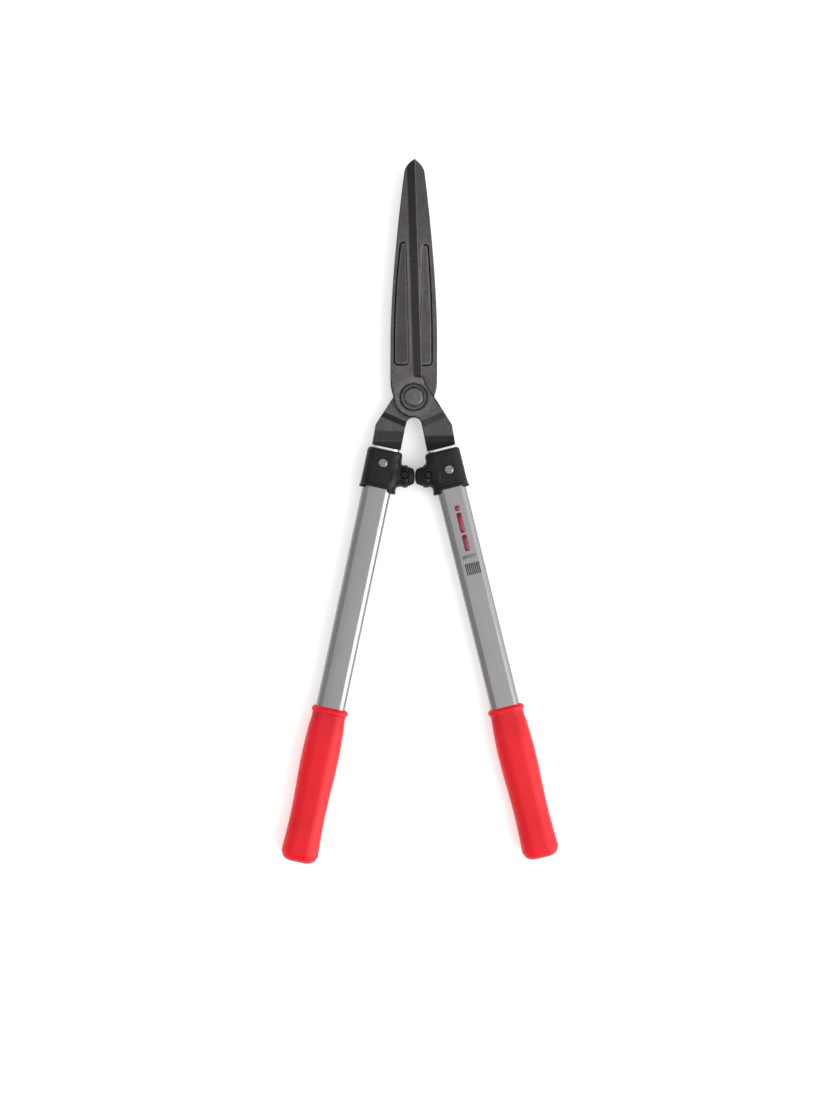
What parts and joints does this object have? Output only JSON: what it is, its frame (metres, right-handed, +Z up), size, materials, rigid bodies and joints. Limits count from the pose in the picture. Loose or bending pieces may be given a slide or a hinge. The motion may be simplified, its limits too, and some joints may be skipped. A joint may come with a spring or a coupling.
{
  "type": "hedge shears",
  "caption": "Hand hedge shears: crossed forged blades on a flanged pivot bolt, oval aluminium tube handles, black collars with rubber buffers and red grips.",
  "frame": {"origin": "on the pivot bolt's axis, at the centre of the bolt's flat lower end, which is at the level of the surface the shears lie on", "axes": "+Y from the pivot towards the closed blade tips, +Z up along the pivot axis towards the bolt head, +X to the right handle's side"},
  "size_m": [0.2675, 0.6812, 0.028],
  "materials": {
    "blade_steel": "dark grey forged and hardened steel, satin, with a darker ground bevel",
    "dark_steel": "dark phosphated steel, satin",
    "zinc_steel": "bright zinc plated steel, satin",
    "nylon": "natural nylon, matt",
    "tube_aluminium": "satin anodised extrusion",
    "black_plastic": "black moulded nylon, lightly textured",
    "black_rubber": "black rubber, matt",
    "grey_plastic": "grey moulded plastic, matt",
    "red_grip": "soft red vinyl, satin"
  },
  "bodies": {
    "rear_lever": {"rear_blade": "blade_steel", "pivot_bolt": "dark_steel", "pivot_washer": "zinc_steel", "pivot_spring_washer": "zinc_steel", "pivot_nut": "zinc_steel", "pivot_nut_insert": "nylon", "left_tube": "tube_aluminium", "left_tube_plug": "grey_plastic", "left_grip": "red_grip", "left_collar": "black_plastic", "left_buffer": "black_rubber", "left_collar_screw": "zinc_steel", "left_collar_nut": "zinc_steel", "left_tang_insert_front": "grey_plastic", "left_tang_insert_back": "grey_plastic"},
    "front_lever": {"front_blade": "blade_steel", "right_tube": "tube_aluminium", "right_tube_plug": "grey_plastic", "right_grip": "red_grip", "right_collar": "black_plastic", "right_buffer": "black_rubber", "right_collar_screw": "zinc_steel", "right_collar_nut": "zinc_steel", "right_tang_insert_front": "grey_plastic", "right_tang_insert_back": "grey_plastic"}
  },
  "joints": [
    {"name": "pivot", "type": "hinge", "parent": "rear_lever", "child": "front_lever", "pos_m": [0, 0, 0.014], "axis": [0, 0, 1], "range_deg": [0, 60]}
  ]
}
